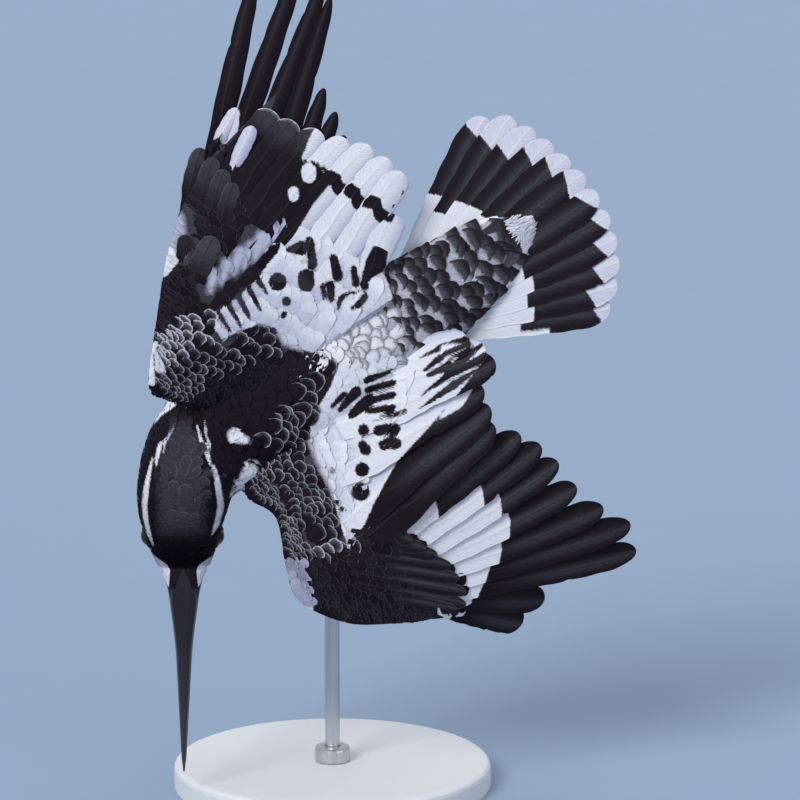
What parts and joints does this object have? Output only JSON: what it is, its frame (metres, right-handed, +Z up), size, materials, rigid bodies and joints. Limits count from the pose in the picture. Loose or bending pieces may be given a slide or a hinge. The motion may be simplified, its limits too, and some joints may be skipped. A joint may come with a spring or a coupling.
{
  "type": "pied kingfisher",
  "caption": "Life-size pied kingfisher twisting into a head-down dive, one wing spread and one half folded, tail fanned, held up by a slim rod on a round display base.",
  "frame": {"origin": "centre of the underside of the stand's round base", "axes": "+Z up; -Y is the side that the bird turns its back to; the head hangs down towards -X"},
  "size_m": [0.1681, 0.108, 0.2894],
  "materials": {
    "body_plumage": "soft overlapping feathers, black, grey and white",
    "head_plumage": "short silky feathers",
    "wing_plumage": "covert feathers, aubergine black barred and spotted white",
    "flight_feathers": "stiff flight feathers with a soft sheen",
    "tail_plumage": "stiff feathers, white with a black band",
    "bill_horn": "satin black horn",
    "eye_gloss": "wet dark brown eye",
    "leg_skin": "small black scales",
    "base_paint": "pale satin paint",
    "rod_steel": "brushed"
  },
  "bodies": {
    "root": {"bill_lower": "bill_horn", "bill_upper": "bill_horn", "eye_left": "eye_gloss", "eye_right": "eye_gloss", "foot_left": "leg_skin", "foot_right": "leg_skin", "head": "head_plumage", "leg_left": "leg_skin", "leg_right": "leg_skin", "neck": "body_plumage", "stand_base": "base_paint", "stand_collar": "rod_steel", "stand_rod": "rod_steel", "tail": "tail_plumage", "tail_coverts": "body_plumage", "trunk": "body_plumage", "wing_left_arm": "wing_plumage", "wing_left_hand": "wing_plumage", "wing_left_primaries": "flight_feathers", "wing_left_secondaries": "flight_feathers", "wing_right_arm": "wing_plumage", "wing_right_hand": "wing_plumage", "wing_right_primaries": "flight_feathers", "wing_right_secondaries": "flight_feathers"}
  },
  "joints": []
}
